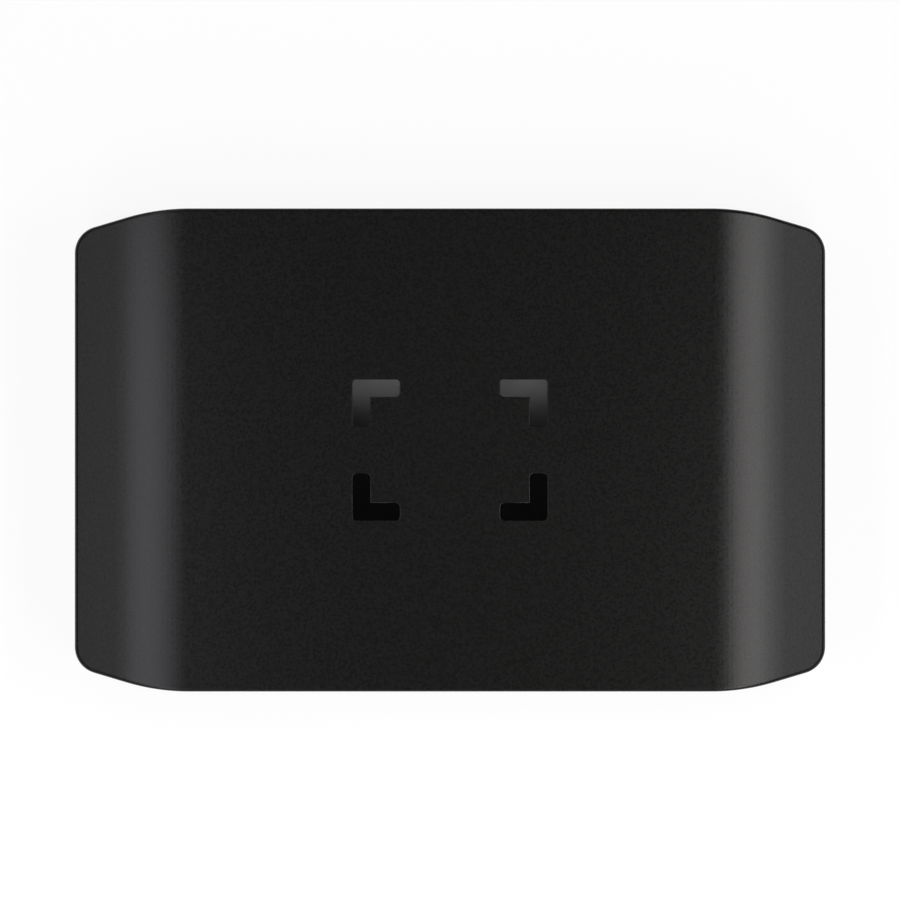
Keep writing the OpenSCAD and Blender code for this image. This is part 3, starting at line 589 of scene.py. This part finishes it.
def rear_panel(gloss, ink):
    holes = [(*video_outline(VIDEO_WALL + FIT_GAP), (-x, VIDEO_Z - SEAM_Z)) for x in VIDEO_X.values()]
    holes.append((*data_outline(DATA_WALL + FIT_GAP), (-DATA_X, DATA_Z - SEAM_Z)))
    words = [("IN", -VIDEO_X["video_in"]), ("OUT", -VIDEO_X["video_out"]), (["screen"], -DATA_X)]
    panel("rear_panel_gloss", holes, words, FACING_REAR, [gloss, ink], "rear_panel")


def stand_in_rear(bm, x, z):
    """Turns a socket that was drawn with its mouth up to face the rear, and puts it in its place."""
    bmesh.ops.transform(bm, matrix=FACING_REAR, verts=bm.verts)
    bmesh.ops.translate(bm, vec=(x, MOUTH_Y, z), verts=bm.verts)


def sleeve(bm, inside, outside, length):
    """Sheet-metal tube of a socket, with its mouth at z = 0 and its lips rounded."""
    ring = bmesh.ops.bridge_loops(bm, edges=outline(bm, *inside) + outline(bm, *outside))["faces"]
    extruded(bm, ring, (0, 0, -length))
    bmesh.ops.recalc_face_normals(bm, faces=bm.faces)
    bevel(bm, corner_edges(bm, lambda co: co.z > -NEAR), LIP_R, 2)


def spring_leaf(bm, x, side):
    """Bowed leaf that presses on the plug, on the upper or the lower wall of a video socket."""
    width, reach, thickness = LEAF
    y = side * VIDEO_HALF_H
    start = set(bm.verts)
    block(bm, (x - width / 2, y - thickness / 2, -reach - LEAF_START),
          (x + width / 2, y + thickness / 2, -LEAF_START))
    edges = {edge for vert in bm.verts if vert not in start for edge in vert.link_edges}
    along = [e for e in edges if abs(e.verts[0].co.z - e.verts[1].co.z) > reach / 2]
    bmesh.ops.subdivide_edges(bm, edges=along, cuts=8, use_grid_fill=True)
    for vert in [v for v in bm.verts if v not in start]:
        share = (vert.co.z + LEAF_START + reach) / reach
        vert.co.y -= side * (LEAF_BOW * math.sin(math.pi * share) ** 2 - LEAF_SINK)


def tabs(bm, half_w, wall, back, reaches, low):
    """Feet of a socket's sleeve that go through the board."""
    for side in (-1, 1):
        for reach in reaches:
            x0, x1 = sorted((side * half_w, side * (half_w + wall)))
            middle = back + reach
            block(bm, (x0, low, middle - TAB_HALF_LEN), (x1, TAB_TOP, middle + TAB_HALF_LEN), TAB_EDGE_R)


def video_shell(kind, steel):
    bm = bmesh.new()
    sleeve(bm, video_outline(0), video_outline(VIDEO_WALL), VIDEO_LEN)
    upper_x, lower_x = LEAF_X
    for side in (-1, 1):
        spring_leaf(bm, side * upper_x, 1)
        spring_leaf(bm, side * lower_x, -1)
    tabs(bm, VIDEO_HALF_W, VIDEO_WALL, -VIDEO_LEN, VIDEO_TABS, TAB_LOW - VIDEO_Z)
    stand_in_rear(bm, VIDEO_X[kind], VIDEO_Z)
    piece(kind + "_sleeve", bm, [steel], kind + "_shell")


def data_shell(steel):
    bm = bmesh.new()
    sleeve(bm, data_outline(0), data_outline(DATA_WALL), DATA_LEN)
    tabs(bm, DATA_MOUTH[0] / 2, DATA_WALL, -DATA_LEN, DATA_TABS, TAB_LOW - DATA_Z)
    stand_in_rear(bm, DATA_X, DATA_Z)
    piece("data_socket_sleeve", bm, [steel], "data_socket_shell")


def insulator(name, shape, length, tongue, lift, x, z, plastic, node):
    """Base that fills the back of a sleeve, and the tongue that carries its contacts."""
    bm = bmesh.new()
    width, reach, thickness = tongue
    base_len = length - TONGUE_RECESS - reach
    face = bmesh.ops.contextual_create(bm, geom=outline(bm, *shape))["faces"]
    extruded(bm, face, (0, 0, base_len))
    bmesh.ops.recalc_face_normals(bm, faces=bm.faces)
    bevel(bm, corner_edges(bm, lambda co: co.z > base_len - NEAR), INSULATOR_EDGE_R, 2)
    start = set(bm.verts)
    block(bm, (-width / 2, lift - thickness / 2, base_len - TONGUE_ROOT),
          (width / 2, lift + thickness / 2, base_len + reach))
    tip = [e for e in bm.edges if all(v not in start and v.co.z > base_len + reach / 2 for v in e.verts)]
    bevel(bm, tip, TONGUE_TIP * thickness, 2)
    bmesh.ops.translate(bm, vec=(0, 0, -length), verts=bm.verts)
    stand_in_rear(bm, x, z)
    piece(name, bm, [plastic], node)


def light_pipe(clear):
    """Milky bar in the front panel, with the slope that turns the light forwards and its two ears."""
    bm = bmesh.new()
    half_w, half_h = LIGHT[0] / 2, LIGHT[1] / 2
    low, top = SEAM_Z - half_h, SEAM_Z + half_h
    slope_y = LIGHT_BACK_Y + top - LIGHT_LOW
    section = [(-PANEL_Y, low), (-FLANGE_Y, low), (-FLANGE_Y, LIGHT_LOW), (-LIGHT_BACK_Y, LIGHT_LOW),
               (-slope_y, top), (-PANEL_Y, top)]
    verts = [bm.verts.new((-half_w, y, z)) for y, z in section]
    extruded(bm, bmesh.ops.contextual_create(bm, geom=verts)["faces"], (LIGHT[0], 0, 0))
    bmesh.ops.recalc_face_normals(bm, faces=bm.faces)
    bevel(bm, corner_edges(bm, lambda co: True), LIGHT_EDGE_R, 3)
    ear_reach, ear_t = EAR
    for side in (-1, 1):
        x0, x1 = sorted((side * (half_w - EAR_ROOT), side * (half_w + ear_reach)))
        block(bm, (x0, -FLANGE_Y, LIGHT_LOW), (x1, ear_t - FLANGE_Y, top), EAR_EDGE_R)
    piece("light_pipe_bar", bm, [clear], "light_pipe")


# Finishes

class Value:
    """A number that varies over a surface. Arithmetic on it adds Math nodes."""

    def __init__(self, shading, socket):
        self.shading = shading
        self.socket = socket

    def maths(self, operation, a, b):
        return self.shading.node("ShaderNodeMath", {"operation": operation}, {0: a, 1: b})

    def __add__(self, other):
        return self.maths("ADD", self, other)

    def __radd__(self, other):
        return self.maths("ADD", other, self)

    def __sub__(self, other):
        return self.maths("SUBTRACT", self, other)

    def __rsub__(self, other):
        return self.maths("SUBTRACT", other, self)

    def __mul__(self, other):
        return self.maths("MULTIPLY", self, other)

    def __rmul__(self, other):
        return self.maths("MULTIPLY", other, self)


class Shading:
    """The nodes of a material or of the world."""

    def __init__(self, owner):
        owner.use_nodes = True
        self.tree = owner.node_tree

    def node(self, kind, settings=None, values=None, output=0):
        """Adds a node, sets it up, feeds its sockets and gives one of its outputs."""
        made = self.tree.nodes.new(kind)
        for name, value in (settings or {}).items():
            setattr(made, name, value)
        for name, value in (values or {}).items():
            self.feed(made.inputs[name], value)
        return Value(self, made.outputs[output])

    def feed(self, socket, value):
        if isinstance(value, Value):
            self.tree.links.new(value.socket, socket)
        else:
            socket.default_value = value

    def between(self, value, low, high):
        """0 below a low value, 1 above a high one, and a soft step between them."""
        return self.node("ShaderNodeMapRange", {"interpolation_type": "SMOOTHSTEP"},
                         {"Value": value, "From Min": low, "From Max": high})

    def mixed(self, share, a, b):
        """A colour between two colours."""
        return self.node("ShaderNodeMix", {"data_type": "RGBA"}, {0: share, 6: a, 7: b}, output=2)


class Finish(Shading):
    """A material for pieces of the box. Patterns follow the object's own coordinates, in metres."""

    def __init__(self, name, **constants):
        self.material = bpy.data.materials.new(name)
        super().__init__(self.material)
        self.surface = self.tree.nodes["Principled BSDF"]
        self.place = self.node("ShaderNodeTexCoord", output="Object")
        for socket, value in constants.items():
            self.surface.inputs[socket.replace("_", " ")].default_value = value

    def stretched(self, scale):
        return self.node("ShaderNodeMapping", values={"Vector": self.place, "Scale": scale})

    def noise(self, scale, detail=2.0, place=None):
        values = {"Vector": place or self.place, "Scale": scale, "Detail": detail}
        return self.node("ShaderNodeTexNoise", values=values)

    def cells(self, scale):
        return self.node("ShaderNodeTexVoronoi", values={"Vector": self.place, "Scale": scale})

    def colour(self, value):
        self.feed(self.surface.inputs["Base Color"], value)

    def rough(self, value):
        self.feed(self.surface.inputs["Roughness"], value)

    def bump(self, height, depth):
        """Relief from a height of 0 to 1, with its depth in millimetres."""
        normal = self.node("ShaderNodeBump", values={"Height": height, "Distance": depth * MM})
        self.feed(self.surface.inputs["Normal"], normal)


def grey(level, tint=(1, 1, 1)):
    return (*(level * t for t in tint), 1)


def case_plastic():
    """Matte black moulding with the fine even grain of a spark-eroded mould."""
    finish = Finish("case_plastic", Specular_IOR_Level=0.225)
    drift = finish.noise(38, 3)
    grain = finish.noise(2150, 1.5)
    pits = finish.noise(5200, 2.5)
    tint = (1, 1.05, 0.96)
    speckle = finish.between(grain, 0.3, 0.7)
    finish.colour(finish.mixed(speckle, grey(0.0052, tint), grey(0.0083, tint)))
    finish.rough(0.178 + 0.04 * drift + 0.04 * grain)
    finish.bump(0.7 * pits + 0.3 * grain, 0.014)
    return finish.material


def mark_gloss():
    """Polished floor of the sunk marks."""
    finish = Finish("mark_gloss", Specular_IOR_Level=0.35)
    haze = finish.noise(260, 4)
    finish.colour(finish.mixed(haze, grey(0.0008), grey(0.0016)))
    finish.rough(0.035 + 0.03 * haze)
    finish.bump(finish.noise(400, 1), 0.0004)
    return finish.material


def panel_gloss():
    """Glossy black insert, with faint handling haze and the flow of the moulding."""
    finish = Finish("panel_gloss", Specular_IOR_Level=0.5)
    haze = finish.between(finish.noise(120, 5), 0.35, 0.75)
    flow = finish.noise(60, 2, finish.stretched((1, 1, 5)))
    finish.colour(finish.mixed(haze, grey(0.006), grey(0.009, (1, 1, 1.05))))
    finish.rough(0.07 + 0.1 * haze)
    finish.bump(flow, 0.01)
    return finish.material


def panel_print():
    """Pale ink, a little thin and uneven."""
    finish = Finish("panel_print", Specular_IOR_Level=0.35)
    cover = finish.noise(1500, 4)
    finish.colour(finish.mixed(finish.between(cover, 0.3, 0.7), grey(0.36), grey(0.5)))
    finish.rough(0.45 + 0.2 * cover)
    finish.bump(cover, 0.006)
    return finish.material


def foot_rubber():
    """Dull rubber with a tooth of small cells."""
    finish = Finish("foot_rubber", Specular_IOR_Level=0.3)
    dust = finish.between(finish.noise(90, 5), 0.4, 0.75)
    tooth = finish.between(finish.cells(900), 0.15, 0.6)
    finish.colour(finish.mixed(dust, grey(0.016), grey(0.034, (1, 0.98, 0.95))))
    finish.rough(0.72 + 0.16 * dust)
    finish.bump(0.8 * (1 - tooth) + 0.2 * finish.noise(4000), 0.06)
    return finish.material


def socket_steel():
    """Nickel-plated sheet with the fine lines of its drawing."""
    finish = Finish("socket_steel", Metallic=1.0)
    lines = finish.noise(900, 3, finish.stretched((4, 0.12, 4)))
    stain = finish.noise(150, 4)
    finish.colour(finish.mixed(stain, grey(0.55, (1, 0.99, 0.97)), grey(0.68, (0.99, 0.99, 1))))
    finish.rough(0.2 + 0.14 * lines + 0.08 * stain)
    finish.bump(lines, 0.004)
    return finish.material


def socket_plastic():
    """Black heat-proof moulding."""
    finish = Finish("socket_plastic")
    fibre = finish.noise(1600, 4)
    finish.colour(finish.mixed(fibre, grey(0.013), grey(0.024)))
    finish.rough(0.45 + 0.2 * fibre)
    finish.bump(fibre, 0.01)
    return finish.material


def contact_gold():
    """Gold flash over nickel, a little paler in worn patches."""
    finish = Finish("contact_gold", Metallic=1.0)
    wear = finish.between(finish.noise(700, 4, finish.stretched((2, 0.4, 2))), 0.45, 0.75)
    finish.colour(finish.mixed(wear, (0.83, 0.59, 0.22, 1), (0.86, 0.74, 0.5, 1)))
    finish.rough(0.16 + 0.2 * wear)
    finish.bump(finish.noise(2600), 0.003)
    return finish.material


def light_guide():
    """Milky moulding with soft clouds in it."""
    finish = Finish("light_guide", Subsurface_Weight=0.35, Subsurface_Scale=0.002)
    cloud = finish.noise(420, 4)
    finish.colour(finish.mixed(cloud, (0.66, 0.69, 0.72, 1), (0.84, 0.86, 0.88, 1)))
    finish.rough(0.2 + 0.15 * cloud)
    finish.bump(finish.noise(1500), 0.005)
    return finish.material


def board_laminate():
    """Dark green solder mask over copper tracks and the weave of the laminate."""
    finish = Finish("board_laminate", Coat_Roughness=0.2)
    pattern = {"Vector": finish.stretched((420, 420, 420)), "Scale": 0.55,
               "Mortar Size": 0.05, "Mortar Smooth": 0.3,
               "Color1": grey(1), "Color2": grey(0.8), "Mortar": grey(0)}
    tracks = finish.node("ShaderNodeTexBrick", {"offset": 0.37, "squash": 0.6, "squash_frequency": 3},
                         pattern, output="Fac")
    weave = finish.node("ShaderNodeTexWave", {"wave_profile": "SIN"},
                        {"Vector": finish.place, "Scale": 500, "Distortion": 0.6})
    patches = finish.between(finish.noise(130, 2), 0.5, 0.56)
    copper = finish.node("ShaderNodeMath", {"operation": "MAXIMUM"}, {0: 1 - tracks, 1: patches})
    paler = 0.75 * copper + 0.15 * weave
    finish.colour(finish.mixed(paler, (0.008, 0.036, 0.022, 1), (0.022, 0.085, 0.05, 1)))
    finish.rough(0.3 + 0.15 * weave)
    finish.feed(finish.surface.inputs["Coat Weight"], 0.3 + 0.3 * copper)
    finish.bump(0.8 * copper + 0.2 * weave, 0.03)
    return finish.material


def led_resin():
    """Pale resin, warmer in patches."""
    finish = Finish("led_resin")
    cloud = finish.noise(1800, 3)
    finish.colour(finish.mixed(cloud, (0.78, 0.74, 0.5, 1), (0.88, 0.86, 0.78, 1)))
    finish.rough(0.22 + 0.12 * cloud)
    finish.bump(cloud, 0.01)
    return finish.material


def chip_resin():
    """Moulded epoxy with a fine speckle of filler."""
    finish = Finish("chip_resin")
    speck = finish.between(finish.noise(5200, 3), 0.55, 0.72)
    cast = finish.noise(420, 3)
    finish.colour(finish.mixed(0.5 * speck + 0.3 * cast, grey(0.016), grey(0.05, (1, 1, 1.06))))
    finish.rough(0.5 + 0.18 * cast)
    finish.bump(0.6 * speck + 0.4 * cast, 0.012)
    return finish.material


def inductor_iron():
    """Pressed iron powder under a thin grey coat."""
    finish = Finish("inductor_iron", Metallic=0.35)
    powder = finish.cells(2600)
    rust = finish.between(finish.noise(600, 4), 0.58, 0.8)
    finish.colour(finish.mixed(rust, grey(0.085, (1, 1, 1.04)), (0.13, 0.1, 0.085, 1)))
    finish.rough(0.5 + 0.25 * powder)
    finish.bump(powder, 0.04)
    return finish.material


def drawn_metal(name, dark, bright, rough, lines_along):
    """Bare metal whose fine lines run one way, with a light tarnish."""
    finish = Finish(name, Metallic=1.0)
    lines = finish.noise(1100, 3, finish.stretched(lines_along))
    tarnish = finish.noise(240, 4)
    finish.colour(finish.mixed(0.5 * lines + 0.5 * tarnish, dark, bright))
    finish.rough(rough + 0.12 * lines + 0.1 * tarnish)
    finish.bump(lines, 0.008)
    return finish.material


def capacitor_ceramic():
    """Fired ceramic, mottled from brown to sand."""
    finish = Finish("capacitor_ceramic")
    fired = finish.noise(1300, 4)
    finish.colour(finish.mixed(fired, (0.33, 0.22, 0.12, 1), (0.52, 0.4, 0.27, 1)))
    finish.rough(0.38 + 0.2 * fired)
    finish.bump(fired, 0.015)
    return finish.material


def thermal_silicone():
    """Soft gap filler with a slightly oily skin."""
    finish = Finish("thermal_silicone", Specular_IOR_Level=0.4)
    filler = finish.noise(1500, 4)
    finish.colour(finish.mixed(filler, (0.26, 0.36, 0.52, 1), (0.38, 0.48, 0.63, 1)))
    finish.rough(0.5 + 0.25 * filler)
    finish.bump(filler, 0.05)
    return finish.material


FINISHED_NODES = {
    "board_laminate": ["main_board"],
    "socket_plastic": ["sound_jack_housing"],
    "contact_gold": ["video_in_contacts", "video_out_contacts", "data_socket_contacts",
                     "sound_jack_springs"],
    "led_resin": ["status_leds"],
    "chip_resin": ["video_processor", "video_receiver", "video_driver", "data_bridge", "memory_chips",
                   "flash_chips", "sound_converter", "power_regulators", "surge_guards", "chip_resistors"],
    "inductor_iron": ["power_inductors"],
    "can_metal": ["polymer_capacitors", "clock_crystals"],
    "capacitor_ceramic": ["ceramic_capacitors"],
    "spreader_alloy": ["heat_spreader"],
    "thermal_silicone": ["thermal_pads"],
    "spacer_brass": ["spreader_spacers"],
    "screw_steel": ["spreader_screws", "board_screws", "case_screws"],
}


def finish_nodes(finishes):
    """Gives the nodes that stay as they are their finish and slightly softened edges."""
    soft_edge = 0.06
    for slot, names in FINISHED_NODES.items():
        for name in names:
            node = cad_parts[name]
            node.data.materials.clear()
            node.data.materials.append(finishes[slot])
            joined = node.modifiers.new("joined", "WELD")
            joined.merge_threshold = NEAR * MM
            softened = node.modifiers.new("softened", "BEVEL")
            softened.width = soft_edge * MM
            softened.segments = 2
            softened.angle_limit = math.radians(40)


# Scene

def softbox(name, place, size, radiance, colour=(1, 1, 1)):
    """A rectangular lamp of an even brightness. It leans sideways, towards the top of the box."""
    lamp = bpy.data.lights.new(name, "AREA")
    lamp.shape = "RECTANGLE"
    lamp.size, lamp.size_y = size
    lamp.energy = radiance * math.pi * size[0] * size[1]
    lamp.color = colour
    made = bpy.data.objects.new(name, lamp)
    made.location = place
    made.rotation_euler.y = math.atan2(place[0], place[2] - TOP_Z)
    made.visible_camera = False
    bpy.context.scene.collection.objects.link(made)


def lamps():
    """A strip and a wall of light on each side of the box, and a card that the marks reflect."""
    softbox("right_strip", place=(0.092, -0.112, 0.182), size=(0.048, 0.336), radiance=5.5,
            colour=(1, 0.967, 0.96))
    softbox("left_strip", place=(-0.103, -0.14, 0.221), size=(0.089, 0.36), radiance=2.27,
            colour=(0.941, 0.924, 1))
    softbox("right_wall", place=(0.423, -0.352, 0.715), size=(0.223, 1.459), radiance=3.3)
    softbox("left_wall", place=(-0.19, 0, 0.317), size=(0.169, 2.52), radiance=1.46,
            colour=(0.95, 0.946, 1))
    softbox("mark_card", place=(0, 0.0178, 1), size=(0.052, 0.012), radiance=3.2)


def floor():
    """A pale floor just under the pad, which shows as white but keeps the box's shadow."""
    just_under = Matrix.Translation((0, 0, -0.02 * MM))
    bm = bmesh.new()
    bmesh.ops.create_grid(bm, x_segments=1, y_segments=1, size=6, matrix=just_under)
    mesh = bpy.data.meshes.new("floor")
    bm.to_mesh(mesh)
    bm.free()
    made = bpy.data.objects.new("floor", mesh)
    bpy.context.scene.collection.objects.link(made)
    material = bpy.data.materials.new("floor_white")
    shading = Shading(material)
    nodes = shading.tree.nodes
    nodes.remove(nodes["Principled BSDF"])
    rays = ("Is Camera Ray", "Is Glossy Ray", "Is Transmission Ray")
    straight, mirrored, through = (shading.node("ShaderNodeLightPath", output=ray) for ray in rays)
    paint = shading.node("ShaderNodeBsdfDiffuse", values={"Color": grey(0.8)})
    white = shading.node("ShaderNodeBsdfDiffuse", values={"Color": grey(0.96)})
    glow = shading.node("ShaderNodeEmission", values={"Color": grey(1), "Strength": 1.0})
    pale = shading.node("ShaderNodeMixShader", values={0: 0.9, 1: white, 2: glow})
    seen = straight + mirrored + through
    shown = shading.node("ShaderNodeMixShader", values={0: seen, 1: paint, 2: pale})
    shading.feed(nodes["Material Output"].inputs["Surface"], shown)
    mesh.materials.append(material)


def sky():
    """A studio whose walls are white near the floor and whose ceiling is dim."""
    world = bpy.data.worlds.new("studio")
    bpy.context.scene.world = world
    shading = Shading(world)
    direction = shading.node("ShaderNodeTexCoord", output="Generated")
    up = shading.node("ShaderNodeSeparateXYZ", values={0: direction}, output="Z")
    wall_end, ceiling_start = 0.06, 0.26
    shade = shading.mixed(shading.between(up, wall_end, ceiling_start), grey(1), grey(0.03))
    seen = shading.node("ShaderNodeLightPath", output="Is Camera Ray")
    background = shading.tree.nodes["Background"]
    shading.feed(background.inputs["Color"], shading.mixed(seen, shade, grey(1)))


def camera():
    """Straight above the box, with the rear edge up, at the photograph's scale on the flat top."""
    pixels_per_mm = 6.713
    photo_width = 900
    distance = 1.9
    lens = bpy.data.cameras.new("camera")
    lens.sensor_width = 36
    lens.sensor_fit = "HORIZONTAL"
    lens.lens = pixels_per_mm / MM * lens.sensor_width * distance / photo_width
    lens.clip_end = 50
    made = bpy.data.objects.new("camera", lens)
    made.location = (0, 0, TOP_Z + distance)
    bpy.context.scene.collection.objects.link(made)
    bpy.context.scene.camera = made


camera()
floor()
sky()
lamps()

finishes = {
    "case_plastic": case_plastic(),
    "mark_gloss": mark_gloss(),
    "panel_gloss": panel_gloss(),
    "panel_print": panel_print(),
    "foot_rubber": foot_rubber(),
    "board_laminate": board_laminate(),
    "socket_steel": socket_steel(),
    "socket_plastic": socket_plastic(),
    "contact_gold": contact_gold(),
    "light_guide": light_guide(),
    "led_resin": led_resin(),
    "chip_resin": chip_resin(),
    "inductor_iron": inductor_iron(),
    "can_metal": drawn_metal("can_metal", grey(0.58), grey(0.78, (1, 1, 1.01)), 0.22, (1, 1, 0.1)),
    "capacitor_ceramic": capacitor_ceramic(),
    "spreader_alloy": drawn_metal("spreader_alloy", grey(0.55), grey(0.74, (0.99, 1, 1.02)), 0.3,
                                  (1, 0.06, 1)),
    "thermal_silicone": thermal_silicone(),
    "spacer_brass": drawn_metal("spacer_brass", (0.56, 0.42, 0.18, 1), (0.78, 0.64, 0.36, 1), 0.22,
                                (0.2, 0.2, 3)),
    "screw_steel": drawn_metal("screw_steel", grey(0.4), grey(0.6, (1, 1, 1.02)), 0.25, (1, 1, 0.3)),
}

upper_shell(finishes["case_plastic"], finishes["mark_gloss"])
lower_shell(finishes["case_plastic"])
foot_pad(finishes["foot_rubber"])
front_panel(finishes["panel_gloss"])
rear_panel(finishes["panel_gloss"], finishes["panel_print"])
for kind in VIDEO_X:
    video_shell(kind, finishes["socket_steel"])
    insulator(kind + "_tongue", video_outline(-FIT_GAP / 2), VIDEO_LEN, VIDEO_TONGUE, VIDEO_TONGUE_LIFT,
              VIDEO_X[kind], VIDEO_Z, finishes["socket_plastic"], kind + "_insulator")
data_shell(finishes["socket_steel"])
insulator("data_socket_tongue", data_outline(-FIT_GAP / 2), DATA_LEN, DATA_TONGUE, 0,
          DATA_X, DATA_Z, finishes["socket_plastic"], "data_socket_insulator")
light_pipe(finishes["light_guide"])
finish_nodes(finishes)

bpy.context.scene.view_settings.view_transform = "Standard"
